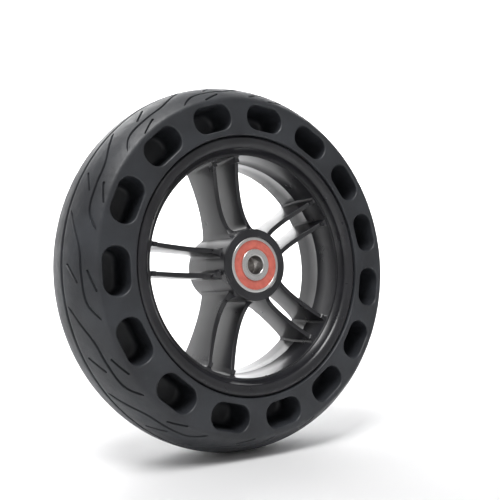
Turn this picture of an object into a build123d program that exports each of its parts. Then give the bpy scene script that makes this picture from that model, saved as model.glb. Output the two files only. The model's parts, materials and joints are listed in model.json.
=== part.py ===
"""Small solid-tyred scooter wheel: a moulded five twin-spoke hub on two sealed ball bearings.

Millimetres, +Z up. The wheel spins about Y and its centre is the origin. The front face looks along -Y.
"""
import math
import os

from build123d import *

os.makedirs("parts", exist_ok=True)

# ---------------------------------------------------------------- driving dimensions
# Tyre
WHEEL_RADIUS = 100.0
TYRE_WIDTH = 50.0
SIDEWALL_DROP = 1.4  # the sidewall falls back by this much from the shoulder to the rim
CROWN_RADIUS = 33.0  # cross-section radius of the tread
SHOULDER_RADIUS = 3.0
SEAT_RADIUS = 63.4  # where the tyre sits on the rim
GROOVE_DEPTH = 1.5
GROOVE_WIDTH = 2.2
GROOVE_ANGLE = 13.0  # circumferential grooves, degrees each side of the tread's middle
POCKET_COUNT = 15
POCKET_PITCH_RADIUS = 79.2
POCKET_LENGTH = 22.5
POCKET_WIDTH = 13.2
POCKET_CORNER = 6.2
POCKET_WEB = 10.0  # solid rubber left between the pockets of the two sides
POCKET_EDGE_RADIUS = 0.9
POCKET_PHASE = 16.4

# Rim
RIM_WIDTH = 45.0
LIP_RADIUS = 69.3
LIP_INNER_RADIUS = 62.7
LIP_BEAD_RADIUS = 3.3
FLANGE_FACE = 18.3  # inner face of the rim flange, from mid-plane
LEDGE_RADIUS = 60.9
LEDGE_FACE = 16.4
DRUM_RADIUS = 59.3  # inner wall at the mid-plane, opening with draft towards both faces
DRUM_WALL_RADIUS = 60.2

# Hub
HUB_FRONT = 18.5  # end faces of the hub, from the mid-plane of the tyre
HUB_REAR = 22.5
BOSS_RADIUS = 19.5
BARREL_MID_RADIUS = 20.2
BOSS_EDGE_RADIUS = 0.8
BORE_RELIEF_RADIUS = 12.6
SEAT_CHAMFER = 0.4

# Spokes
SPOKE_COUNT = 5
SPOKE_PHASE = 35.0
RIB_MID_THICKNESS = 3.3  # at the mid-plane, thinning towards both edges
RIB_DRAFT = 2.0
RIB_OFFSET_HUB = 6.65  # rib centre from the spoke's radial line, at RIB_HUB_STATION
RIB_OFFSET_RIM = 7.25
RIB_HUB_STATION = 22.0
RIB_RIM_STATION = 58.0
HUB_CORNER_RADIUS = 4.0
RIM_CORNER_RADIUS = 1.6
# rib edges from the hub to the rim: radius, height from the mid-plane
FRONT_DISH = ((19.0, 15.6), (24.0, 10.2), (38.0, 8.5), (60.6, 15.6))
REAR_DISH = ((19.0, 20.0), (24.0, 15.8), (38.0, 12.8), (60.6, 16.4))
WINDOW_FOOT_RADIUS = 19.3
EJECTOR_STATION = 22.6
EJECTOR_OFFSET = 6.9
EJECTOR_RADIUS = 0.8
EJECTOR_FLOOR = 10.0  # from the mid-plane
PAD_STATION = 57.0
PAD_LENGTH = 2.4
PAD_WIDTH = 2.6
PAD_FOOT = 10.2  # from the mid-plane
PAD_TOP = 15.2

# Bearings: 10 x 30 x 9 deep-groove, sealed both sides
BORE_RADIUS = 5.0
BEARING_RADIUS = 15.0
BEARING_WIDTH = 9.0
RING_CHAMFER = 0.6
INNER_RING_RADIUS = 8.5
OUTER_LAND_RADIUS = 12.0  # inside of the outer ring beside the raceway
SEAL_RADIUS = 13.4
BALL_COUNT = 8
BALL_RADIUS = 2.381
BALL_PITCH_RADIUS = 10.0
RACEWAY_RADIUS = 2.43
SEAL_RECESS = 0.35
SEAL_THICKNESS = 0.75
SEAL_CORE_THICKNESS = 0.3
SEAL_GAP = 0.06
CAGE_SHEET = 0.4
CAGE_HALF_WIDTH = 1.1
CAGE_GAP = 0.06
RIVET_RADIUS = 0.35
RIVET_HEAD = 0.25

# Spacer between the inner rings
SPACER_BORE_RADIUS = 5.15
SPACER_RADIUS = 7.2
SPACER_CHAMFER = 0.4

HALF_TYRE = TYRE_WIDTH / 2
HALF_RIM = RIM_WIDTH / 2
HUB_ENDS = ((-1, HUB_FRONT), (1, HUB_REAR))
CROWN_CENTRE = WHEEL_RADIUS - CROWN_RADIUS


def radial_plane(side):
    """Section plane whose local X is the radius; local Y points along the axle, to the front if side is -1."""
    return Plane((0, 0, 0), x_dir=(1, 0, 0), z_dir=(0, 0, side))


def crown_point(angle, depth=0.0):
    """(radius, y) of the tread's cross-section at an angle from its middle."""
    reach = CROWN_RADIUS - depth
    return (
        CROWN_CENTRE + reach * math.cos(math.radians(angle)),
        reach * math.sin(math.radians(angle)),
    )


def finish(part, name):
    """Label one finished piece and write its file."""
    part.label = name
    export_step(part, f"parts/{name}.step")


# ---------------------------------------------------------------- tyre
shoulder_angle = math.degrees(math.asin(HALF_TYRE / CROWN_RADIUS))
shoulder_radius = crown_point(shoulder_angle)[0]
groove_half_angle = math.degrees(GROOVE_WIDTH / 2 / CROWN_RADIUS)
left_lip = crown_point(GROOVE_ANGLE - groove_half_angle)
right_lip = crown_point(GROOVE_ANGLE + groove_half_angle)
groove_floor = crown_point(GROOVE_ANGLE, GROOVE_DEPTH)
top_mid = crown_point(GROOVE_ANGLE / 2)
side_mid = crown_point((GROOVE_ANGLE + shoulder_angle) / 2)

with BuildPart() as tyre:
    with BuildSketch(Plane.XY):
        with BuildLine():
            ThreePointArc((WHEEL_RADIUS, 0), top_mid, left_lip)
            ThreePointArc(left_lip, groove_floor, right_lip)
            ThreePointArc(right_lip, side_mid, (shoulder_radius, HALF_TYRE))
            Polyline(
                (shoulder_radius, HALF_TYRE),
                (LIP_RADIUS + 1.4, HALF_TYRE - SIDEWALL_DROP),
                (LIP_RADIUS, HALF_TYRE - SIDEWALL_DROP - 1.4),
                (LIP_RADIUS, FLANGE_FACE),
                (SEAT_RADIUS, FLANGE_FACE),
                (SEAT_RADIUS, 0),
                (WHEEL_RADIUS, 0),
            )
        make_face()
        mirror(about=Plane.XZ)
    revolve(axis=Axis.Y)

    shoulders = tyre.edges().filter_by(GeomType.CIRCLE).filter_by(
        lambda edge: abs(edge.radius - shoulder_radius) < 0.01
    )
    fillet(shoulders, SHOULDER_RADIUS)

    # pockets in both sidewalls that let the solid tyre flex
    for side in (-1, 1):
        with BuildSketch(Plane((0, side * POCKET_WEB / 2, 0), x_dir=(1, 0, 0), z_dir=(0, side, 0))):
            with PolarLocations(POCKET_PITCH_RADIUS, POCKET_COUNT, start_angle=-side * POCKET_PHASE):
                RectangleRounded(POCKET_WIDTH, POCKET_LENGTH, POCKET_CORNER)
        extrude(amount=TYRE_WIDTH, mode=Mode.SUBTRACT)

    # small rounding where the pockets open through the sidewalls
    pocket_edges = tyre.edges().filter_by(
        lambda edge: abs(edge.center().Y) > HALF_TYRE - 2 and edge.length < POCKET_LENGTH
    )
    fillet(pocket_edges, POCKET_EDGE_RADIUS)
finish(tyre.part, "tyre")


# ---------------------------------------------------------------- wheel hub
RIB_FLARE = (RIB_OFFSET_RIM - RIB_OFFSET_HUB) / (RIB_RIM_STATION - RIB_HUB_STATION)
HALF_STEP = 180 / SPOKE_COUNT


def rib_offset(station):
    """Distance of a rib's middle from its spoke's radial line."""
    return RIB_OFFSET_HUB + RIB_FLARE * (station - RIB_HUB_STATION)


def rib_face_point(radius, shift, turn):
    """Where the rib face that lies shift from the rib's middle meets a circle, turned about the axle."""
    start = rib_offset(0) + shift
    square = 1 + RIB_FLARE**2
    linear = 2 * start * RIB_FLARE
    constant = start**2 - radius**2
    station = (math.sqrt(linear**2 - 4 * square * constant) - linear) / (2 * square)
    point = Vector(station, start + RIB_FLARE * station)
    return point.rotate(Axis.Z, turn)


def opening(shift, turn):
    """Outline between two rib faces that mirror each other about the X axis, foot towards the hub."""
    foot = rib_face_point(WINDOW_FOOT_RADIUS, shift, turn)
    head = rib_face_point(DRUM_RADIUS, shift, turn)
    with BuildSketch() as outline:
        with BuildLine():
            Line(foot, head)
            ThreePointArc(head, (DRUM_RADIUS, 0), (head.X, -head.Y))
            Line((head.X, -head.Y), (foot.X, -foot.Y))
            ThreePointArc((foot.X, -foot.Y), (WINDOW_FOOT_RADIUS, 0), foot)
        make_face()
        corners = outline.vertices().sort_by(Axis.X)
        fillet(corners[:2], HUB_CORNER_RADIUS)
        fillet(outline.vertices().sort_by(Axis.X)[-2:], RIM_CORNER_RADIUS)
    return outline.sketch


window = opening(RIB_MID_THICKNESS / 2, -HALF_STEP)
slot = opening(-RIB_MID_THICKNESS / 2, 0)

# spoke disc: dished on both faces, then opened by five windows and five slots with draft
with BuildPart() as spokes:
    for side, dish in ((-1, FRONT_DISH), (1, REAR_DISH)):
        with BuildSketch(radial_plane(side)):
            with BuildLine():
                Polyline(dish[0], (0, dish[0][1]), (0, 0), (dish[-1][0], 0), dish[-1])
                Spline(*dish, tangents=[(0.25, -1), (1, 0.4)])
            make_face()
        revolve(axis=Axis.Y)
    for side in (-1, 1):
        with BuildSketch(Plane((0, 0, 0), x_dir=(1, 0, 0), z_dir=(0, -side, 0))):
            with PolarLocations(0, SPOKE_COUNT, start_angle=side * SPOKE_PHASE):
                add(slot)
            with PolarLocations(0, SPOKE_COUNT, start_angle=side * (SPOKE_PHASE + HALF_STEP)):
                add(window)
        extrude(amount=HUB_REAR, taper=-RIB_DRAFT, mode=Mode.SUBTRACT)

with BuildPart() as wheel_hub:
    # rim: drum wall, flanges and rounded lips, one half mirrored
    lip_top = HALF_RIM - LIP_BEAD_RADIUS
    with BuildSketch(Plane.XY):
        with BuildLine():
            ThreePointArc(
                (LIP_RADIUS, lip_top),
                ((LIP_RADIUS + LIP_INNER_RADIUS) / 2, HALF_RIM),
                (LIP_INNER_RADIUS, lip_top),
            )
            Polyline(
                (LIP_INNER_RADIUS, lip_top),
                (LEDGE_RADIUS, LEDGE_FACE),
                (DRUM_WALL_RADIUS, LEDGE_FACE),
                (DRUM_WALL_RADIUS, 0),
                (SEAT_RADIUS, 0),
                (SEAT_RADIUS, FLANGE_FACE),
                (LIP_RADIUS, FLANGE_FACE),
                (LIP_RADIUS, lip_top),
            )
        make_face()
        mirror(about=Plane.XZ)
    revolve(axis=Axis.Y)

    # hub barrel, with draft to both faces
    for side, face in HUB_ENDS:
        with BuildSketch(radial_plane(side)):
            Polygon((0, 0), (BARREL_MID_RADIUS, 0), (BOSS_RADIUS, face), (0, face), align=None)
        revolve(axis=Axis.Y)
    boss_edges = wheel_hub.edges().filter_by(GeomType.CIRCLE).filter_by(
        lambda edge: abs(edge.radius - BOSS_RADIUS) < 0.01
    )
    fillet(boss_edges, BOSS_EDGE_RADIUS)
    add(spokes.part)

    # front face: a small pad at the rim end of each rib, a shallow ejector mark at its hub end
    with BuildSketch(Plane.XZ.offset(PAD_FOOT)):
        for spoke in range(SPOKE_COUNT):
            with Locations(Location((0, 0, 0), (0, 0, SPOKE_PHASE + spoke * 2 * HALF_STEP))):
                with Locations((PAD_STATION, rib_offset(PAD_STATION)), (PAD_STATION, -rib_offset(PAD_STATION))):
                    Rectangle(PAD_LENGTH, PAD_WIDTH)
    extrude(amount=PAD_TOP - PAD_FOOT)
    with BuildSketch(Plane.XZ.offset(HUB_FRONT)):
        for spoke in range(SPOKE_COUNT):
            with Locations(Location((0, 0, 0), (0, 0, SPOKE_PHASE + spoke * 2 * HALF_STEP))):
                with Locations((EJECTOR_STATION, EJECTOR_OFFSET), (EJECTOR_STATION, -EJECTOR_OFFSET)):
                    Circle(EJECTOR_RADIUS)
    extrude(amount=EJECTOR_FLOOR - HUB_FRONT, mode=Mode.SUBTRACT)

    # bearing seats at both ends, relieved between them
    for side, face in HUB_ENDS:
        with BuildSketch(radial_plane(side)):
            Polygon(
                (0, 0),
                (BORE_RELIEF_RADIUS, 0),
                (BORE_RELIEF_RADIUS, face - BEARING_WIDTH),
                (BEARING_RADIUS, face - BEARING_WIDTH),
                (BEARING_RADIUS, face - SEAT_CHAMFER),
                (BEARING_RADIUS + SEAT_CHAMFER, face),
                (0, face),
                align=None,
            )
        revolve(axis=Axis.Y, mode=Mode.SUBTRACT)
finish(wheel_hub.part, "wheel_hub")


# ---------------------------------------------------------------- bearings
HALF_BEARING = BEARING_WIDTH / 2
SEAL_FACE = HALF_BEARING - SEAL_RECESS
SEAL_BACK = SEAL_FACE - SEAL_THICKNESS
SEAL_GROOVE_RADIUS = SEAL_RADIUS + 0.25
inner_shoulder = math.sqrt(RACEWAY_RADIUS**2 - (BALL_PITCH_RADIUS - INNER_RING_RADIUS) ** 2)
outer_shoulder = math.sqrt(RACEWAY_RADIUS**2 - (OUTER_LAND_RADIUS - BALL_PITCH_RADIUS) ** 2)


def bearing_seal(name, section):
    """A sheet-steel washer in moulded rubber, drawn on a plane whose Y points out of the bearing."""
    core_inner = INNER_RING_RADIUS + 0.8
    core_outer = OUTER_LAND_RADIUS + 0.5
    core_top = SEAL_BACK + SEAL_CORE_THICKNESS
    with BuildPart() as core:
        with BuildSketch(section):
            Polygon(
                (core_inner, SEAL_BACK),
                (core_outer, SEAL_BACK),
                (core_outer, core_top),
                (core_inner, core_top),
                align=None,
            )
        revolve(axis=Axis.Y)
    with BuildPart() as rubber:
        with BuildSketch(section):
            Polygon(
                (INNER_RING_RADIUS + SEAL_GAP, SEAL_BACK),
                (core_inner, SEAL_BACK),
                (core_inner, core_top),
                (core_outer, core_top),
                (core_outer, SEAL_BACK),
                (SEAL_GROOVE_RADIUS, SEAL_BACK),
                (SEAL_GROOVE_RADIUS, SEAL_FACE - 0.15),
                (SEAL_RADIUS, SEAL_FACE),
                (core_inner, SEAL_FACE),
                (core_inner - 0.15, SEAL_FACE - 0.12),
                (INNER_RING_RADIUS + SEAL_GAP, SEAL_FACE - 0.12),
                align=None,
            )
        revolve(axis=Axis.Y)
    finish(rubber.part, name)
    finish(core.part, f"{name}_core")


for end, (outward, face) in zip(("front", "rear"), HUB_ENDS):
    middle = (0, outward * (face - HALF_BEARING), 0)
    # section: local X is the radius, local Y points out of the hub
    section = Plane(middle, x_dir=(1, 0, 0), z_dir=(0, 0, outward))
    inward_section = Plane(middle, x_dir=(1, 0, 0), z_dir=(0, 0, -outward))
    across = Plane(middle, x_dir=(1, 0, 0), z_dir=(0, outward, 0))
    prefix = f"{end}_bearing"

    with BuildPart() as outer_ring:
        with BuildSketch(section):
            with BuildLine():
                ThreePointArc(
                    (OUTER_LAND_RADIUS, -outer_shoulder),
                    (BALL_PITCH_RADIUS + RACEWAY_RADIUS, 0),
                    (OUTER_LAND_RADIUS, outer_shoulder),
                )
                Polyline(
                    (OUTER_LAND_RADIUS, outer_shoulder),
                    (OUTER_LAND_RADIUS, SEAL_BACK),
                    (SEAL_GROOVE_RADIUS, SEAL_BACK),
                    (SEAL_GROOVE_RADIUS, SEAL_FACE - 0.15),
                    (SEAL_RADIUS, SEAL_FACE),
                    (SEAL_RADIUS, HALF_BEARING),
                    (BEARING_RADIUS - RING_CHAMFER, HALF_BEARING),
                    (BEARING_RADIUS, HALF_BEARING - RING_CHAMFER),
                    (BEARING_RADIUS, RING_CHAMFER - HALF_BEARING),
                    (BEARING_RADIUS - RING_CHAMFER, -HALF_BEARING),
                    (SEAL_RADIUS, -HALF_BEARING),
                    (SEAL_RADIUS, -SEAL_FACE),
                    (SEAL_GROOVE_RADIUS, 0.15 - SEAL_FACE),
                    (SEAL_GROOVE_RADIUS, -SEAL_BACK),
                    (OUTER_LAND_RADIUS, -SEAL_BACK),
                    (OUTER_LAND_RADIUS, -outer_shoulder),
                )
            make_face()
        revolve(axis=Axis.Y)
    finish(outer_ring.part, f"{prefix}_outer_ring")

    with BuildPart() as inner_ring:
        with BuildSketch(section):
            with BuildLine():
                ThreePointArc(
                    (INNER_RING_RADIUS, -inner_shoulder),
                    (BALL_PITCH_RADIUS - RACEWAY_RADIUS, 0),
                    (INNER_RING_RADIUS, inner_shoulder),
                )
                Polyline(
                    (INNER_RING_RADIUS, inner_shoulder),
                    (INNER_RING_RADIUS, HALF_BEARING),
                    (BORE_RADIUS + RING_CHAMFER, HALF_BEARING),
                    (BORE_RADIUS, HALF_BEARING - RING_CHAMFER),
                    (BORE_RADIUS, RING_CHAMFER - HALF_BEARING),
                    (BORE_RADIUS + RING_CHAMFER, -HALF_BEARING),
                    (INNER_RING_RADIUS, -HALF_BEARING),
                    (INNER_RING_RADIUS, -inner_shoulder),
                )
            make_face()
        revolve(axis=Axis.Y)
    finish(inner_ring.part, f"{prefix}_inner_ring")

    with BuildPart(across) as balls:
        with PolarLocations(BALL_PITCH_RADIUS, BALL_COUNT):
            Sphere(BALL_RADIUS)
    finish(balls.part, f"{prefix}_balls")

    # riveted cage: two pressed ribbons, each a flat band with a domed pocket over every ball
    for half, normal in (("outer", outward), ("inner", -outward)):
        seat = Plane(middle, x_dir=(1, 0, 0), z_dir=(0, normal, 0))
        with BuildPart(seat) as cage:
            with BuildSketch(seat):
                Circle(BALL_PITCH_RADIUS + CAGE_HALF_WIDTH)
                Circle(BALL_PITCH_RADIUS - CAGE_HALF_WIDTH, mode=Mode.SUBTRACT)
            extrude(amount=CAGE_SHEET)
            with PolarLocations(BALL_PITCH_RADIUS, BALL_COUNT):
                Sphere(BALL_RADIUS + CAGE_GAP + CAGE_SHEET)
            with BuildSketch(seat):
                Circle(BALL_PITCH_RADIUS + CAGE_HALF_WIDTH)
                Circle(BALL_PITCH_RADIUS - CAGE_HALF_WIDTH, mode=Mode.SUBTRACT)
            extrude(amount=HALF_BEARING, mode=Mode.INTERSECT)
            with PolarLocations(BALL_PITCH_RADIUS, BALL_COUNT):
                Sphere(BALL_RADIUS + CAGE_GAP, mode=Mode.SUBTRACT)
            with PolarLocations(BALL_PITCH_RADIUS, BALL_COUNT, start_angle=180 / BALL_COUNT):
                Hole(RIVET_RADIUS, 2 * CAGE_SHEET)
        finish(cage.part, f"{prefix}_cage_{half}")

    with BuildPart(across) as rivets:
        with PolarLocations(BALL_PITCH_RADIUS, BALL_COUNT, start_angle=180 / BALL_COUNT):
            Cylinder(RIVET_RADIUS, 2 * CAGE_SHEET)
            for level in (-1, 1):
                with Locations((0, 0, level * (CAGE_SHEET + RIVET_HEAD / 2))):
                    Cylinder(2 * RIVET_RADIUS, RIVET_HEAD)
    finish(rivets.part, f"{prefix}_cage_rivets")

    bearing_seal(f"{prefix}_seal_outer", section)
    bearing_seal(f"{prefix}_seal_inner", inward_section)

# ---------------------------------------------------------------- spacer between the inner rings
with BuildPart() as bearing_spacer:
    with BuildSketch(Plane.XZ.offset(HUB_FRONT - BEARING_WIDTH)):
        Circle(SPACER_RADIUS)
        Circle(SPACER_BORE_RADIUS, mode=Mode.SUBTRACT)
    extrude(amount=2 * BEARING_WIDTH - HUB_FRONT - HUB_REAR)
    chamfer(bearing_spacer.edges().filter_by(GeomType.CIRCLE), SPACER_CHAMFER)
finish(bearing_spacer.part, "bearing_spacer")
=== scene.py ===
"""A small solid-tyred scooter wheel on a pale studio floor: tyre with its tread, moulded hub, sealed bearings.

Metres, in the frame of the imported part: the wheel spins about Y, the tyre's centre is the origin, and the front
face looks along -Y. The shapes are drawn in millimetres.
"""

import json
import math

import bmesh
import bpy
import numpy as np
from mathutils import Matrix, Vector


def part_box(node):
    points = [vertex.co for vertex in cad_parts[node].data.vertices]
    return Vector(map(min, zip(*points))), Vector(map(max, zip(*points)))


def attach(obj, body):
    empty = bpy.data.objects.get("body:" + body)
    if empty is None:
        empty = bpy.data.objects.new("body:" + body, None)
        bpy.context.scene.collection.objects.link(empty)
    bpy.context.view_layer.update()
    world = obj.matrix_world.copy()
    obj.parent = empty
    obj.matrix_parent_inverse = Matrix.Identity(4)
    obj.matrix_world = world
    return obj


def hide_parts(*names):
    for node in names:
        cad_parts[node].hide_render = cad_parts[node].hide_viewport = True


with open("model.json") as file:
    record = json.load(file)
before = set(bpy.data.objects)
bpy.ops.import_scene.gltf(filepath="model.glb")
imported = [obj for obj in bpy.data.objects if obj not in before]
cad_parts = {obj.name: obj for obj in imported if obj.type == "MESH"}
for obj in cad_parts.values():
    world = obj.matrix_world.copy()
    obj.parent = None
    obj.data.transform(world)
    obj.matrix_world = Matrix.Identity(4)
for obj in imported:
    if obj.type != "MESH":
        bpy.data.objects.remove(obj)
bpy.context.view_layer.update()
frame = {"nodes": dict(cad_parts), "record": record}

MM = 0.001
TURN = 2 * math.pi

# ---------------------------------------------------------------- sizes, in millimetres
WHEEL_RADIUS = 100.0
HALF_TYRE = 25.0
SIDEWALL_DROP = 1.4
CROWN_RADIUS = 33.0
CROWN_CENTRE = WHEEL_RADIUS - CROWN_RADIUS
# where the crown's circle would reach the tyre's full width
EDGE_RADIUS = CROWN_CENTRE + math.sqrt(CROWN_RADIUS**2 - HALF_TYRE**2)
SHOULDER_RADIUS = 3.0
LIP_RADIUS = 69.3
LIP_ROUND = 0.9
# the sidewall's slope ends at this distance from the lip
LIP_BAND = 1.4
SIDEWALL_RUN = EDGE_RADIUS - LIP_RADIUS - LIP_BAND
SEAT_RADIUS = 63.4
FLANGE_FACE = 18.3
GROOVE_ANGLE = 13.0
GROOVE_WIDTH = 1.7
GROOVE_EDGE = 0.3
POCKET_COUNT = 15
POCKET_PITCH = 79.2
POCKET_PHASE = 16.4
POCKET_LONG = 22.5
POCKET_WIDE = 13.2
POCKET_CORNER = 6.2
POCKET_WEB = 10.0
POCKET_EDGE = 0.9
POCKET_FLOOR_ROUND = 3.0
TREAD_REPEATS = 14
TREAD_PHASE = 12.9
TREAD_STEPS = 26
# rough length of a degree about the axle and across the crown, which spaces a tread groove's steps evenly
DEGREE_LENGTHS = (1.6, 0.52)
# tread grooves of one repeat: (degrees about the axle, degrees across the crown) along each, width, depth
TREAD = (
    (((0, 16.8), (3.2, 22.6), (10.5, 33.3), (17.5, 35.4), (25.5, 37.3), (31.0, 46.4)), 1.0, 0.9),
    (((14.5, 20.4), (16.8, 25.3), (20.0, 31.2)), 0.9, 0.9),
    (((16.5, 40.8), (19.5, 44.1), (23.0, 47.8)), 0.9, 0.9),
)


# ---------------------------------------------------------------- mesh tools
def mesh_object(name, points, faces):
    """An object from points in millimetres."""
    mesh = bpy.data.meshes.new(name)
    mesh.from_pydata([tuple(p) for p in np.asarray(points) * MM], [], faces)
    mesh.update()
    made = bpy.data.objects.new(name, mesh)
    bpy.context.scene.collection.objects.link(made)
    return made


def lathe_points(section, count):
    """Points of a closed section of (radius, y) turned about Y, one ring of the section per step."""
    section = np.asarray(section, float)
    turns = np.arange(count) * TURN / count
    points = np.empty((count, len(section), 3))
    points[:, :, 0] = section[None, :, 0] * np.cos(turns)[:, None]
    points[:, :, 1] = section[None, :, 1]
    points[:, :, 2] = section[None, :, 0] * np.sin(turns)[:, None]
    return points.reshape(-1, 3)


def ring_faces(rings, size, closed=True):
    """Quads between successive rings of points; the last meets the first, or each of the two gets an end face."""
    faces = []
    for a in range(rings if closed else rings - 1):
        b = (a + 1) % rings
        for i in range(size):
            j = (i + 1) % size
            faces.append((a * size + i, a * size + j, b * size + j, b * size + i))
    if not closed:
        faces.append(tuple(range(size)))
        faces.append(tuple(range(size * (rings - 1), size * rings))[::-1])
    return faces


def lathe(name, section, count=360):
    """A ring turned about Y from a closed section, its faces looking outwards."""
    made = mesh_object(name, lathe_points(section, count), ring_faces(count, len(section)))
    face_out(made)
    return made


def face_out(made):
    """Make the face normals agree and look outwards."""
    work = bmesh.new()
    work.from_mesh(made.data)
    bmesh.ops.recalc_face_normals(work, faces=work.faces)
    work.to_mesh(made.data)
    work.free()


def both_halves(half):
    """A closed section of (radius, y) from the half above the mid-plane."""
    return half + [(r, -y) for r, y in reversed(half)]


def on_arc(centre, radius, angle):
    """Point in the (radius, y) plane, angle in degrees from the radial direction."""
    a = math.radians(angle)
    return centre[0] + radius * math.cos(a), centre[1] + radius * math.sin(a)


def arc(centre, radius, start, end, steps):
    """Points on an arc in the (radius, y) plane."""
    return [on_arc(centre, radius, start + (end - start) * i / steps) for i in range(steps + 1)]


def combine(target, other, operation):
    """Boolean of two closed objects, in place; the second is dropped."""
    modifier = target.modifiers.new("combine", "BOOLEAN")
    modifier.operation = operation
    modifier.solver = "MANIFOLD"
    modifier.object = other
    bpy.context.view_layer.update()
    evaluated = target.evaluated_get(bpy.context.evaluated_depsgraph_get())
    result = bpy.data.meshes.new_from_object(evaluated)
    target.modifiers.clear()
    old = target.data
    target.data = result
    bpy.data.meshes.remove(old)
    bpy.data.objects.remove(other)


# ---------------------------------------------------------------- tyre
def crown_frame(turn, lean):
    """(point, outward normal) on the crown, in millimetres; angles in degrees."""
    a, b = math.radians(turn), math.radians(lean)
    out = np.array([math.cos(b) * math.cos(a), -math.sin(b), math.cos(b) * math.sin(a)])
    middle = CROWN_CENTRE * np.array([math.cos(a), 0.0, math.sin(a)])
    return middle + CROWN_RADIUS * out, out


def smooth_path(points, count):
    """Points evenly spaced along a Catmull-Rom curve through the given ones, and its length in millimetres."""
    p = np.asarray(points, float)
    p = np.vstack([2 * p[0] - p[1], p, 2 * p[-1] - p[-2]])
    dense = []
    for i in range(1, len(p) - 2):
        for t in np.linspace(0, 1, 20, endpoint=False):
            dense.append(
                0.5 * (2 * p[i] + (p[i + 1] - p[i - 1]) * t
                       + (2 * p[i - 1] - 5 * p[i] + 4 * p[i + 1] - p[i + 2]) * t**2
                       + (3 * p[i] - p[i - 1] - 3 * p[i + 1] + p[i + 2]) * t**3)
            )
    dense.append(p[-2])
    dense = np.array(dense)
    steps = np.linalg.norm(np.diff(dense * DEGREE_LENGTHS, axis=0), axis=1)
    length = np.concatenate([[0], np.cumsum(steps)])
    wanted = np.linspace(0, length[-1], count)
    return np.column_stack([np.interp(wanted, length, dense[:, k]) for k in (0, 1)]), length[-1]


def groove_cutter(trace, width, depth, turn, side):
    """One closed cutter that follows the crown: round ends, slightly sloping walls, a broken top edge."""
    path, length = smooth_path(trace, TREAD_STEPS)
    half = width / 2
    # (share of the half width, extra width, height above the crown) round the groove's section
    shape = [(1, 0.45, 0.9), (1, 0.22, 0.0), (1, 0.0, -0.3), (0.86, 0, -depth + 0.3), (0.55, 0, -depth),
             (-0.55, 0, -depth), (-0.86, 0, -depth + 0.3), (-1, 0.0, -0.3), (-1, -0.22, 0.0), (-1, -0.45, 0.9)]
    points = []
    frames = [crown_frame(turn + t, side * b) for t, b in path]
    spots = np.array([f[0] for f in frames])
    for i, (spot, out) in enumerate(frames):
        ahead = spots[min(i + 1, len(spots) - 1)] - spots[max(i - 1, 0)]
        ahead = ahead - out * ahead.dot(out)
        across = np.cross(out, ahead / np.linalg.norm(ahead))
        reach = min(i, len(spots) - 1 - i) * length / (len(spots) - 1)
        # a half circle in plan at each end, which stops at a fifth of the width
        narrow = math.sqrt(max(0.04, 1 - (1 - min(1.0, reach / half)) ** 2))
        for share, extra, height in shape:
            points.append(spot + across * (share * half + extra) * narrow + out * height)
    return points, ring_faces(len(frames), len(shape), closed=False)


def rounded_rectangle(grow, per_corner=9):
    """Outline of a pocket grown by an amount: (radial, tangential) from its centre."""
    corner = POCKET_CORNER + grow
    u, v = POCKET_WIDE / 2 - POCKET_CORNER, POCKET_LONG / 2 - POCKET_CORNER
    outline = []
    for quarter, (su, sv) in enumerate(((1, 1), (-1, 1), (-1, -1), (1, -1))):
        for i in range(per_corner + 1):
            a = math.radians(90 * quarter + 90 * i / per_corner)
            outline.append((su * u + corner * math.cos(a), sv * v + corner * math.sin(a)))
    return outline


def sidewall(radius):
    """Height of the sidewall above the mid-plane; it falls back towards the rim."""
    return HALF_TYRE - SIDEWALL_DROP * (EDGE_RADIUS - radius) / SIDEWALL_RUN


def pocket_cutter(turn, side):
    """One closed cutter into a sidewall, which flares where it meets the surface and is round at its foot."""
    # the mouth: (depth below the sidewall, growth of the outline) from the open end inwards
    levels = [(-2.0, POCKET_EDGE)]
    for i in range(7):
        a = math.radians(90 * (1 - i / 6))
        levels.append((POCKET_EDGE * (1 - math.sin(a)), POCKET_EDGE * (1 - math.cos(a))))
    a = math.radians(turn)
    radial, tangential = np.array([math.cos(a), 0, math.sin(a)]), np.array([-math.sin(a), 0, math.cos(a)])
    points = []
    for depth, grow in levels:
        for u, v in rounded_rectangle(grow):
            height = sidewall(math.hypot(POCKET_PITCH + u, v)) - depth
            points.append(radial * (POCKET_PITCH + u) + tangential * v + np.array([0, side * height, 0]))
    # the foot: a quarter round that ends level on the web
    for i in range(6):
        a = math.radians(90 * i / 5)
        height = POCKET_WEB / 2 + POCKET_FLOOR_ROUND * (1 - math.sin(a))
        for u, v in rounded_rectangle(-POCKET_FLOOR_ROUND * (1 - math.cos(a))):
            points.append(radial * (POCKET_PITCH + u) + tangential * v + np.array([0, side * height, 0]))
    size = len(rounded_rectangle(0))
    return points, ring_faces(len(points) // size, size, closed=False)


def join_pieces(name, parts):
    """One object from many closed pieces."""
    points, faces = [], []
    for part_points, part_faces in parts:
        base = len(points)
        points += list(part_points)
        faces += [tuple(base + i for i in f) for f in part_faces]
    made = mesh_object(name, points, faces)
    face_out(made)
    return made


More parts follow.
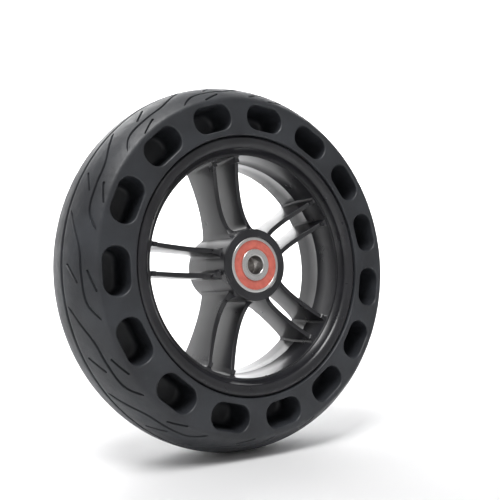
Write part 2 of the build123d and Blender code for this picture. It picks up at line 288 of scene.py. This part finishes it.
def tyre_section():
    """Closed section of the tyre, (radius, y), from the middle of the crown round to the bead and back."""
    crown = (CROWN_CENTRE, 0)
    groove = math.degrees(GROOVE_WIDTH / 2 / CROWN_RADIUS)
    lip = math.degrees(GROOVE_EDGE / CROWN_RADIUS)
    # shoulder arc, tangent to the crown and to the sloping sidewall: its centre lies on the crown's inner
    # parallel and on the sidewall's, which gives its lean from the mid-plane
    slope = math.atan2(SIDEWALL_DROP, SIDEWALL_RUN)
    reach = CROWN_RADIUS - SHOULDER_RADIUS
    gap = math.cos(slope) * sidewall(CROWN_CENTRE) - SHOULDER_RADIUS
    lean = math.degrees(math.asin(gap / reach) + slope)
    shoulder_centre = on_arc(crown, reach, lean)
    half = arc(crown, CROWN_RADIUS, 0, GROOVE_ANGLE - groove - lip, 10)
    # (share of the groove's half width, depth) across the groove
    for share, height in ((-1.1, 0.06), (-0.95, 0.35), (-0.8, 0.9), (-0.55, 1.35), (0, 1.5),
                          (0.55, 1.35), (0.8, 0.9), (0.95, 0.35), (1.1, 0.06)):
        half.append(on_arc(crown, CROWN_RADIUS - height, GROOVE_ANGLE + share * groove))
    half += arc(crown, CROWN_RADIUS, GROOVE_ANGLE + groove + lip, lean, 22)
    half += arc(shoulder_centre, SHOULDER_RADIUS, lean, 90 + math.degrees(slope), 8)[1:]
    lip_middle = LIP_RADIUS + LIP_ROUND
    half += [(r, sidewall(r)) for r in (80.0, 75.0, lip_middle + 0.5)]
    half += arc((lip_middle, sidewall(lip_middle) - LIP_ROUND), LIP_ROUND, 90, 180, 6)[1:]
    half += [(LIP_RADIUS, FLANGE_FACE), (SEAT_RADIUS, FLANGE_FACE)]
    # the first point is on the mid-plane, so its mirror image is dropped
    return both_halves(half)[:-1]


def section_sides(section, angle):
    """Sides of a closed section: start, direction, length, flat normal, and blended normals at both ends."""
    section = np.asarray(section, float)
    following = np.roll(section, -1, axis=0)
    along = following - section
    length = np.linalg.norm(along, axis=1)
    along /= length[:, None]
    turn = np.sign(np.sum(section[:, 0] * following[:, 1] - section[:, 1] * following[:, 0]))
    flat = np.column_stack([along[:, 1], -along[:, 0]]) * turn
    before, after = np.roll(flat, 1, axis=0), np.roll(flat, -1, axis=0)
    limit = math.cos(math.radians(angle))
    start = np.where(((flat * before).sum(1) > limit)[:, None], flat + before, flat)
    end = np.where(((flat * after).sum(1) > limit)[:, None], flat + after, flat)
    start /= np.linalg.norm(start, axis=1)[:, None]
    end /= np.linalg.norm(end, axis=1)[:, None]
    return section, along, length, flat, start, end


def revolved_normals(mesh, *sections, angle=32):
    """Smooth corner normals: exact where a face lies on a turned section, averaged elsewhere."""
    mesh.polygons.foreach_set("use_smooth", np.ones(len(mesh.polygons), bool))
    mesh.set_sharp_from_angle(angle=math.radians(angle))
    sides = [section_sides(section, angle) for section in sections]
    section, along, length, straight, start, end = (np.concatenate(column) for column in zip(*sides))

    def read(items, name, width, kind=float):
        values = np.empty(len(items) * width, kind)
        items.foreach_get(name, values)
        return values.reshape(-1, width) if width > 1 else values

    normals = read(mesh.corner_normals, "vector", 3)
    where = read(mesh.vertices, "co", 3) / MM
    corner = where[read(mesh.loops, "vertex_index", 1, int)]
    centre = read(mesh.polygons, "center", 3) / MM
    facing = read(mesh.polygons, "normal", 3)
    owner = np.repeat(np.arange(len(mesh.polygons)), read(mesh.polygons, "loop_total", 1, int))

    radius = np.hypot(centre[:, 0], centre[:, 2])
    outward = centre[:, [0, 2]] / radius[:, None]
    spot = np.column_stack([radius, centre[:, 1]])
    flat = np.column_stack([(facing[:, [0, 2]] * outward).sum(1), facing[:, 1]])
    # a face lies on the nearest side of a section that looks the same way, if that is within 0.06 mm
    best = np.full(len(spot), 1e9)
    chosen = np.zeros(len(spot), int)
    for k in range(len(section)):
        t = np.clip((spot - section[k]) @ along[k], 0, length[k])
        gap = np.linalg.norm(section[k] + t[:, None] * along[k] - spot, axis=1)
        gap = np.where(flat @ straight[k] > 0.97, gap, 1e9)
        better = gap < best
        best[better], chosen[better] = gap[better], k
    on_section = (best < 0.06)[owner]
    k = chosen[owner]
    corner_radius = np.hypot(corner[:, 0], corner[:, 2])
    corner_spot = np.column_stack([corner_radius, corner[:, 1]])
    t = np.clip(((corner_spot - section[k]) * along[k]).sum(1) / length[k], 0, 1)[:, None]
    blend = start[k] * (1 - t) + end[k] * t
    exact = np.column_stack([
        blend[:, 0] * corner[:, 0] / corner_radius, blend[:, 1], blend[:, 0] * corner[:, 2] / corner_radius
    ])
    exact /= np.linalg.norm(exact, axis=1)[:, None]
    normals[on_section] = exact[on_section]
    mesh.normals_split_custom_set(normals.tolist())


tyre_outline = tyre_section()
tyre = lathe("tyre_rubber", tyre_outline, 420)
pockets = [
    pocket_cutter(POCKET_PHASE + 360 * k / POCKET_COUNT, side) for k in range(POCKET_COUNT) for side in (-1, 1)
]
combine(tyre, join_pieces("pockets", pockets), "DIFFERENCE")
grooves = [
    groove_cutter(trace, width, depth, TREAD_PHASE + 360 * k / TREAD_REPEATS, side)
    for k in range(TREAD_REPEATS)
    for side in (1, -1)
    for trace, width, depth in TREAD
]
combine(tyre, join_pieces("grooves", grooves), "DIFFERENCE")
revolved_normals(tyre.data, tyre_outline)


# ---------------------------------------------------------------- wheel hub
HALF_RIM = 22.5
BEAD = 3.3
BEAD_SHOULDER = 2.2
LIP_INNER = 62.7
LEDGE_RADIUS = 60.9
LEDGE_FACE = 16.4
DRUM_RADIUS = 59.3
DRAFT = math.tan(math.radians(2.0))
LEDGE_ROUND = 0.28
DRUM_ROUND = 0.3
# height of the barrel's end faces above the mid-plane, front (-1) and rear (1)
HUB_FACES = {-1: 18.5, 1: 22.5}
BEARING_WIDTH = 9.0
BOSS_RADIUS = 19.5
BOSS_ROUND = 0.8
BARREL_RADIUS = 20.2
FOOT_RADIUS = 19.3
SEAT_BORE = 15.0
SEAT_CHAMFER = 0.4
BORE_RELIEF = 12.6
SPOKES = 5
SPOKE_PHASE = 35.0
RIB_HALF = 1.65
# a rib's middle is this far from its spoke's radial line at ROOT_STATION, and RIB_SPREAD further per millimetre
RIB_OFFSET = 6.65
ROOT_STATION = 22
RIB_SPREAD = 0.6 / 36
# (from, to, count) of the sections along a rib, closest together at its root fillets
RIB_STATIONS = ((17.4, 25, 20), (25.6, 55, 34), (55.6, 59.7, 14))
# height at which a rib's side is taken to find how far from the axle its edge is
DISH_MIDDLE = 12
HUB_CORNER = 4.0
RIM_CORNER = 1.6
EDGE_ROUND = 0.45
# (radius, height) along the ribs' dished edges, and the curves' directions at their two ends
FRONT_DISH = ((19.0, 15.6), (24.0, 10.2), (38.0, 8.5), (60.6, 15.6))
REAR_DISH = ((19.0, 20.0), (24.0, 15.8), (38.0, 12.8), (60.6, 16.4))
DISH_ENDS = ((0.25, -1.0), (1.0, 0.4))


def dish_curve(dish):
    """(radius, height) along the ribs' edge, a smooth curve through a dish's points with its end directions."""
    points = np.array(dish)
    knots = np.concatenate([[0], np.cumsum(np.linalg.norm(np.diff(points, axis=0), axis=1))])
    ends = [np.array(d) / np.linalg.norm(d) for d in DISH_ENDS]
    count = len(points)
    system, right = np.zeros((count, count)), np.zeros((count, 2))
    system[0, 0] = system[-1, -1] = 1
    right[0], right[-1] = ends
    for i in range(1, count - 1):
        h0, h1 = knots[i] - knots[i - 1], knots[i + 1] - knots[i]
        system[i, i - 1:i + 2] = h1, 2 * (h0 + h1), h0
        right[i] = 3 * (h1 / h0 * (points[i] - points[i - 1]) + h0 / h1 * (points[i + 1] - points[i]))
    slopes = np.linalg.solve(system, right)
    curve = []
    for i in range(count - 1):
        h = knots[i + 1] - knots[i]
        for t in np.linspace(0, 1, 40, endpoint=i == count - 2):
            curve.append(
                (2 * t**3 - 3 * t**2 + 1) * points[i] + (t**3 - 2 * t**2 + t) * h * slopes[i]
                + (3 * t**2 - 2 * t**3) * points[i + 1] + (t**3 - t**2) * h * slopes[i + 1]
            )
    return np.array(curve)


DISHES = {-1: dish_curve(FRONT_DISH), 1: dish_curve(REAR_DISH)}


def dish_height(radius, face):
    """Height of the ribs' edge above the mid-plane, on the front (-1) or the rear (1)."""
    return float(np.interp(radius, DISHES[face][:, 0], DISHES[face][:, 1]))


def rib_offset(station):
    """Distance of a rib's middle from its spoke's radial line."""
    return RIB_OFFSET + RIB_SPREAD * (station - ROOT_STATION)


def rib_side(station, height, outer):
    """Offset of a rib's face from the radial line, with its root fillets at the hub and the rim."""
    half = RIB_HALF - abs(height) * DRAFT
    sign = 1 if outer else -1
    face = rib_offset(station) + sign * half
    hub_middle = face + sign * HUB_CORNER
    hub_start = math.sqrt((FOOT_RADIUS + HUB_CORNER) ** 2 - hub_middle**2)
    rim_middle = face + sign * RIM_CORNER
    rim_start = math.sqrt((DRUM_RADIUS + abs(height) * DRAFT - RIM_CORNER) ** 2 - rim_middle**2)
    if station < hub_start:
        run = min(hub_start - station, HUB_CORNER)
        return face + sign * (HUB_CORNER - math.sqrt(HUB_CORNER**2 - run**2))
    if station > rim_start:
        run = min(station - rim_start, RIM_CORNER)
        return face + sign * (RIM_CORNER - math.sqrt(RIM_CORNER**2 - run**2))
    return face


def rib(turn, side):
    """One rib as a closed piece: drafted faces, rounded edges on both dished sides."""
    stations = np.concatenate([np.linspace(*span) for span in RIB_STATIONS])
    a = math.radians(turn)
    radial, across = np.array([math.cos(a), 0, math.sin(a)]), side * np.array([-math.sin(a), 0, math.cos(a)])
    points = []
    for station in stations:
        ring = []
        for face in (-1, 1):
            half_ring = []
            for outer in (True, False):
                # from the mid-plane up one side and round its edge
                edge = [(rib_side(station, 0.0, outer), 0.0)]
                top = dish_height(math.hypot(station, rib_side(station, DISH_MIDDLE, outer)), face)
                for step in range(5):
                    lean = math.radians(90 * step / 4)
                    inset = EDGE_ROUND * (1 - math.cos(lean))
                    drop = EDGE_ROUND * (1 - math.sin(lean))
                    offset = rib_side(station, top, outer) - (inset if outer else -inset)
                    edge.append((offset, top - drop))
                half_ring += edge if outer else edge[::-1]
            half_ring = [(offset, face * height) for offset, height in half_ring]
            # the two halves run opposite ways, and each leaves its last point to the other
            ring += half_ring[:-1] if face < 0 else half_ring[::-1][:-1]
        for offset, height in ring:
            points.append(radial * station + across * offset + np.array([0, height, 0]))
    return points, ring_faces(len(stations), len(points) // len(stations), closed=False)


# the rim's bead has a round outer shoulder and falls towards the ledge in a quarter ellipse
rim_half = [(SEAT_RADIUS, FLANGE_FACE), (LIP_RADIUS, FLANGE_FACE)]
crest = LIP_RADIUS - BEAD_SHOULDER
bead_foot = HALF_RIM - BEAD
rim_half += arc((crest, HALF_RIM - BEAD_SHOULDER), BEAD_SHOULDER, 0, 90, 9)
for step in range(1, 13):
    lean = math.radians(90 + 90 * step / 12)
    rim_half.append((crest + (crest - LIP_INNER) * math.cos(lean), bead_foot + BEAD * math.sin(lean)))
rim_half += arc((LEDGE_RADIUS + 0.25, LEDGE_FACE + LEDGE_ROUND), LEDGE_ROUND, 210, 270, 3)
drum_top = DRUM_RADIUS + LEDGE_FACE * DRAFT
rim_half += arc((drum_top + DRUM_ROUND, LEDGE_FACE - DRUM_ROUND), DRUM_ROUND, 90, 180, 4)
rim_half += [(DRUM_RADIUS + 8 * DRAFT, 8.0), (DRUM_RADIUS + 0.2 * DRAFT, 0.2), (DRUM_RADIUS - 0.07, 0.07)]
rim_outline = both_halves(rim_half)


def two_ends(half):
    """A closed section from a function that gives its half for the height of one end face."""
    return half(HUB_FACES[1]) + [(r, -y) for r, y in reversed(half(HUB_FACES[-1]))]


def barrel_half(face):
    """Half of the barrel's section, whose inside is left for the bearing seats to cut."""
    half = [(SEAT_BORE - 3.5, face)]
    half += arc((BOSS_RADIUS - BOSS_ROUND, face - BOSS_ROUND), BOSS_ROUND, 90, 0, 8)
    return half + [(BARREL_RADIUS - (BARREL_RADIUS - BOSS_RADIUS) * 10 / face, 10.0), (BARREL_RADIUS, 0.1)]


barrel_outline = two_ends(barrel_half)

hub = lathe("hub_moulding", rim_outline, 360)
combine(hub, lathe("barrel", barrel_outline, 180), "UNION")
for spoke in range(SPOKES):
    turn = SPOKE_PHASE + 72 * spoke
    combine(hub, join_pieces("ribs", [rib(turn, side) for side in (-1, 1)]), "UNION")

# small pads at the rim end of the front rib edges, ejector marks at their hub end
PAD_STATION, PAD_LONG, PAD_WIDE, PAD_FOOT, PAD_TOP, PAD_BEVEL = 57.0, 2.4, 2.6, 10.2, 15.2, 0.25
MARK_STATION, MARK_OFFSET, MARK_RADIUS, MARK_FLOOR = 22.6, 6.9, 0.8, 10.0


def upright(outline, low, high, bevel=0.0):
    """A closed prism along -Y from an outline of (x, z), from height low to high above the mid-plane."""
    outline = np.asarray(outline, float)
    middle = outline.mean(axis=0)
    levels = [(low, 0.0), (high - bevel, 0.0)] + ([(high, bevel)] if bevel else [])
    points = []
    for height, inset in levels:
        reach = np.linalg.norm(outline - middle, axis=1)[:, None]
        ring = middle + (outline - middle) * (reach - inset) / reach
        points += [(x, -height, z) for x, z in ring]
    return points, ring_faces(len(levels), len(outline), closed=False)


def spoke_place(turn, station, offset):
    """(x, z) at a station along a spoke and an offset from its radial line."""
    a = math.radians(turn)
    return station * math.cos(a) - offset * math.sin(a), station * math.sin(a) + offset * math.cos(a)


pad_corners = [(u * PAD_LONG / 2, v * PAD_WIDE / 2) for u, v in ((-1, -1), (1, -1), (1, 1), (-1, 1))]
mark_turns = [TURN * k / 24 for k in range(24)]
mark_circle = [(MARK_RADIUS * math.cos(a), MARK_RADIUS * math.sin(a)) for a in mark_turns]
pads, marks = [], []
for spoke in range(SPOKES):
    turn = SPOKE_PHASE + 72 * spoke
    for side in (-1, 1):
        offset = side * rib_offset(PAD_STATION)
        outline = [spoke_place(turn, PAD_STATION + u, offset + v) for u, v in pad_corners]
        pads.append(upright(outline, PAD_FOOT, PAD_TOP, PAD_BEVEL))
        outline = [spoke_place(turn, MARK_STATION + u, side * MARK_OFFSET + v) for u, v in mark_circle]
        marks.append(upright(outline, MARK_FLOOR, HUB_FACES[-1] - 1))
combine(hub, join_pieces("pads", pads), "UNION")
combine(hub, join_pieces("marks", marks), "DIFFERENCE")


def seat_half(face):
    """Half of what is bored out of the barrel: a bearing seat with its chamfer, and the relief behind it."""
    mouth = SEAT_BORE + SEAT_CHAMFER
    half = [(1.0, face + 1), (mouth, face + 1), (mouth, face), (SEAT_BORE, face - SEAT_CHAMFER)]
    return half + [(SEAT_BORE, face - BEARING_WIDTH), (BORE_RELIEF, face - BEARING_WIDTH)]


combine(hub, lathe("seats", two_ends(seat_half), 180), "DIFFERENCE")
revolved_normals(hub.data, rim_outline, barrel_outline)


# ---------------------------------------------------------------- bearings
# radii of the outer ring's land, of the ball circle, of the raceways' grooves and of the inner ring's land
LAND, PITCH, RACEWAY, INNER_RING = 12.0, 10.0, 2.43, 8.5
RING_ROUND = 0.58


def placed(outline, outward):
    """A section drawn about a bearing's middle, moved to its end of the hub."""
    return [(r, outward * (HUB_FACES[outward] - BEARING_WIDTH / 2 + h)) for r, h in outline]


# halves of the rings' sections on the outward side: raceway, land, seal seat, face and rounded corner
raceway_end = math.degrees(math.acos((LAND - PITCH) / RACEWAY))
outer_half = [on_arc((PITCH, 0), RACEWAY, raceway_end * (i + 0.5) / 8) for i in range(8)]
outer_half += [(LAND, 1.42), (LAND, 3.4), (13.65, 3.4), (13.65, 4.0), (13.4, 4.15), (13.4, 4.42), (13.48, 4.5)]
outer_half += arc((14.42, 3.92), RING_ROUND, 90, 0, 6)
raceway_end = math.degrees(math.acos((PITCH - INNER_RING) / RACEWAY))
inner_half = [on_arc((PITCH, 0), RACEWAY, 180 - raceway_end * (i + 0.5) / 8) for i in range(8)]
inner_half += [(INNER_RING, 1.95), (INNER_RING, 4.4), (8.4, 4.5)] + arc((5.58, 3.92), RING_ROUND, 90, 180, 6)
seal_ring = [(8.56, 3.4), (9.3, 3.4), (9.3, 3.7), (12.5, 3.7), (12.5, 3.4), (13.65, 3.4), (13.65, 4.0)]
seal_ring += [(13.38, 4.14), (13.0, 4.15), (12.8, 4.09), (12.5, 4.06), (10.1, 4.06), (9.8, 4.09), (9.6, 4.15)]
seal_ring += [(9.32, 4.14), (9.16, 4.03), (8.62, 4.02), (8.56, 3.96)]

visible = []
for end, outward in (("front", -1), ("rear", 1)):
    for name, outline, node, body, slot in (
        ("race_outer", both_halves(outer_half), "outer_ring", "wheel", "bearing_steel"),
        ("race_inner", both_halves(inner_half), "inner_ring", "axle_group", "bearing_steel"),
        ("shield", seal_ring, "seal_outer", "wheel", "seal_rubber"),
    ):
        outline = placed(outline, outward)
        piece = lathe(f"{end}_{name}", outline, 192)
        revolved_normals(piece.data, outline)
        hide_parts(f"{end}_bearing_{node}")
        visible.append((piece, body, slot))
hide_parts("tyre")
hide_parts("wheel_hub")
visible += [(tyre, "wheel", "tyre_rubber"), (hub, "wheel", "hub_plastic")]
for piece, body, slot in visible:
    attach(piece, body)


# ---------------------------------------------------------------- materials
class Finish:
    """A node material: shorthand for the nodes that the finishes below share."""

    def __init__(self, name, color, roughness, metallic=0.0):
        self.material = bpy.data.materials.new(name)
        self.material.use_nodes = True
        self.tree = self.material.node_tree
        self.shader = next(n for n in self.tree.nodes if n.type == "BSDF_PRINCIPLED")
        self.shader.inputs["Base Color"].default_value = (*color, 1)
        self.shader.inputs["Roughness"].default_value = roughness
        self.shader.inputs["Metallic"].default_value = metallic
        self.place = self.tree.nodes.new("ShaderNodeTexCoord").outputs["Object"]

    def link(self, output, target):
        self.tree.links.new(output, target)

    def math(self, operation, a, b=None):
        """Output of a math node on one or two values, each a number or another node's output."""
        node = self.tree.nodes.new("ShaderNodeMath")
        node.operation = operation
        for socket, value in zip(node.inputs, (a, b)):
            if value is None:
                continue
            if isinstance(value, (int, float)):
                socket.default_value = value
            else:
                self.link(value, socket)
        return node.outputs[0]

    def noise(self, scale, detail=3.0, stretch=None, place=None):
        """A noise of so many cells per metre, about the piece itself unless a place is given."""
        node = self.tree.nodes.new("ShaderNodeTexNoise")
        node.inputs["Scale"].default_value = scale
        node.inputs["Detail"].default_value = detail
        source = place or self.place
        if stretch:
            mapping = self.tree.nodes.new("ShaderNodeMapping")
            mapping.inputs["Scale"].default_value = stretch
            self.link(source, mapping.inputs["Vector"])
            source = mapping.outputs[0]
        self.link(source, node.inputs["Vector"])
        return node.outputs["Fac"]

    def polar(self):
        """Distance from the axle and distance along it, in metres."""
        split = self.tree.nodes.new("ShaderNodeSeparateXYZ")
        self.link(self.place, split.inputs[0])
        x, y, z = split.outputs
        squares = self.math("ADD", self.math("MULTIPLY", x, x), self.math("MULTIPLY", z, z))
        return self.math("SQRT", squares), y

    def ramp(self, value, low, high, out_low, out_high):
        """A value mapped from one range to another, and held at its ends."""
        node = self.tree.nodes.new("ShaderNodeMapRange")
        for name, number in (("From Min", low), ("From Max", high), ("To Min", out_low), ("To Max", out_high)):
            node.inputs[name].default_value = number
        self.link(value, node.inputs["Value"])
        return node.outputs[0]

    def shade(self, factor, dark, light):
        """Base colour between two tones."""
        node = self.tree.nodes.new("ShaderNodeMix")
        node.data_type = "RGBA"
        node.inputs["A"].default_value = (*dark, 1)
        node.inputs["B"].default_value = (*light, 1)
        self.link(factor, node.inputs["Factor"])
        self.link(node.outputs["Result"], self.shader.inputs["Base Color"])

    def rough(self, value):
        self.link(value, self.shader.inputs["Roughness"])

    def bump(self, *layers):
        """Layers of (height, depth in metres), each on top of the last."""
        last = None
        for height, depth in layers:
            node = self.tree.nodes.new("ShaderNodeBump")
            node.inputs["Distance"].default_value = depth
            self.link(height, node.inputs["Height"])
            if last:
                self.link(last, node.inputs["Normal"])
            last = node.outputs[0]
        self.link(last, self.shader.inputs["Normal"])


def tyre_rubber():
    made = Finish("tyre_rubber", (0.021, 0.023, 0.027), 0.5)
    cloud, grain = made.noise(45, 4), made.noise(2600, 2)
    made.shade(made.ramp(cloud, 0.35, 0.65, 0, 1), (0.014, 0.0153, 0.0185), (0.025, 0.0275, 0.0325))
    made.rough(made.ramp(made.noise(160, 5), 0.3, 0.7, 0.40, 0.54))
    made.bump((made.noise(190, 2), 0.00025), (grain, 0.00006))
    return made.material


def hub_plastic():
    made = Finish("hub_plastic", (0.012, 0.012, 0.014), 0.25)
    made.shade(made.ramp(made.noise(60, 3), 0.35, 0.65, 0, 1), (0.009, 0.009, 0.011), (0.016, 0.016, 0.019))
    made.rough(made.ramp(made.noise(90, 4), 0.3, 0.7, 0.27, 0.33))
    made.bump((made.noise(55, 0), 0.00008), (made.noise(700, 1, (1, 0.15, 1)), 0.000001))
    return made.material


def turned_steel(name, color, low, high):
    """Steel with fine rings about the axle."""
    made = Finish(name, color, 0.3, 1.0)
    radius, height = made.polar()
    joined = made.tree.nodes.new("ShaderNodeCombineXYZ")
    made.link(radius, joined.inputs[0])
    made.link(height, joined.inputs[1])
    rings = made.noise(9000, 2, place=joined.outputs[0])
    cloud = made.noise(220, 3)
    made.shade(cloud, tuple(c * 0.86 for c in color), tuple(min(1, c * 1.1) for c in color))
    made.rough(made.ramp(rings, 0.3, 0.7, low, high))
    made.bump((rings, 0.000012))
    return made.material


def seal_rubber():
    made = Finish("seal_rubber", (0.52, 0.12, 0.085), 0.48)
    made.shade(made.ramp(made.noise(350, 4), 0.35, 0.65, 0, 1), (0.46, 0.10, 0.072), (0.57, 0.135, 0.10))
    made.rough(made.ramp(made.noise(900, 3), 0.3, 0.7, 0.42, 0.56))
    made.bump((made.noise(2200, 3), 0.00004))
    return made.material


finishes = {
    "tyre_rubber": tyre_rubber(),
    "hub_plastic": hub_plastic(),
    "bearing_steel": turned_steel("bearing_steel", (0.63, 0.62, 0.61), 0.24, 0.38),
    "ball_steel": turned_steel("ball_steel", (0.8, 0.8, 0.8), 0.05, 0.1),
    "cage_steel": turned_steel("cage_steel", (0.52, 0.51, 0.49), 0.3, 0.45),
    "seal_rubber": seal_rubber(),
    # painted shade: the spacer gets the bearings' turned steel at about half the brightness, darkened for the
    # shade deep in the bore
    "spacer_shaded_steel": turned_steel("spacer_shaded_steel", (0.33, 0.31, 0.29), 0.42, 0.55),
}
record_slots = {part["node"]: part["material_slot"] for part in frame["record"]["subparts"]}
for node, carried in frame["nodes"].items():
    carried.data.materials.clear()
    # the spacer takes the darker steel, painted shade for the deep bore, in place of its own slot
    carried.data.materials.append(finishes["spacer_shaded_steel" if node == "bearing_spacer" else record_slots[node]])
for piece, _, slot in visible:
    piece.data.materials.clear()
    piece.data.materials.append(finishes[slot])
    piece.data.polygons.foreach_set("material_index", np.zeros(len(piece.data.polygons), int))


# ---------------------------------------------------------------- studio
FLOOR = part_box("tyre")[0].z
SHEET_HALF, SWEEP_START, SWEEP_RADIUS, SWEEP_TOP = 3.0, 0.55, 0.5, 1.7

# a sheet that curves up into a backdrop behind the wheel; its direction of depth is the camera's, level
depth_way = Vector((0.5541, 0.8325, 0.0))
width_way = Vector((0.8325, -0.5541, 0.0))
profile = [(d, 0.0) for d in (-SHEET_HALF, -1.5, -0.5, 0.0, 0.3)]
profile += [
    (SWEEP_START + SWEEP_RADIUS * math.sin(a), SWEEP_RADIUS * (1 - math.cos(a)))
    for a in np.radians(range(0, 91, 6))
]
profile.append((SWEEP_START + SWEEP_RADIUS, SWEEP_TOP))
points = [
    depth_way * d + width_way * w + Vector((0, 0, FLOOR + z))
    for d, z in profile
    for w in (-SHEET_HALF, SHEET_HALF)
]
faces = [(2 * i, 2 * i + 1, 2 * i + 3, 2 * i + 2) for i in range(len(profile) - 1)]
floor_mesh = bpy.data.meshes.new("studio_floor")
floor_mesh.from_pydata([tuple(p) for p in points], [], faces)
floor_mesh.polygons.foreach_set("use_smooth", np.ones(len(faces), bool))
floor = bpy.data.objects.new("studio_floor", floor_mesh)
bpy.context.scene.collection.objects.link(floor)
paper = Finish("paper", (0.72, 0.72, 0.725), 0.7)
paper.shade(paper.noise(3, 2), (0.7, 0.7, 0.705), (0.74, 0.74, 0.745))
floor_mesh.materials.append(paper.material)

world = bpy.data.worlds.new("studio")
world.use_nodes = True
world.node_tree.nodes["Background"].inputs["Color"].default_value = (1.0, 1.0, 1.0, 1)
world.node_tree.nodes["Background"].inputs["Strength"].default_value = 0.48
bpy.context.scene.world = world


def softbox(name, place, target, size, power, spread=180):
    """A square area light that looks at a point, with the full angle of its beam in degrees."""
    data = bpy.data.lights.new(name, "AREA")
    data.size = size
    data.energy = power
    data.spread = math.radians(spread)
    made = bpy.data.objects.new(name, data)
    made.location = place
    made.rotation_euler = (Vector(target) - Vector(place)).to_track_quat("-Z", "Y").to_euler()
    bpy.context.scene.collection.objects.link(made)


softbox("key", (-0.4, -0.36, 0.88), (0, 0, 0), 0.45, 11)
softbox("fill", (-0.6, 0.95, 0.2), (0, 0, 0), 0.9, 2.8)
softbox("top", (-0.15, 0.75, 0.8), (0, 0, 0), 0.5, 4)
softbox("backdrop", depth_way * 0.5 + Vector((0, 0, 1.2)), depth_way * 1.3 + Vector((0, 0, 0.2)), 0.8, 20, 100)

# the photograph's own view of the wheel
camera_data = bpy.data.cameras.new("camera")
camera_data.lens = 39.4
camera_data.sensor_width = 36
camera_data.clip_start = 0.01
camera_data.clip_end = 50
camera = bpy.data.objects.new("camera", camera_data)
right, ahead = Vector((0.8324, -0.5542, 0.0)).normalized(), Vector((0.5515, 0.8285, 0.0974)).normalized()
up = right.cross(ahead)
heading = Matrix((right, up, -ahead)).transposed().to_4x4()
camera.matrix_world = Matrix.Translation((-0.1651, -0.2609, -0.0207)) @ heading
bpy.context.scene.collection.objects.link(camera)
bpy.context.scene.camera = camera
bpy.context.scene.view_settings.view_transform = "Standard"
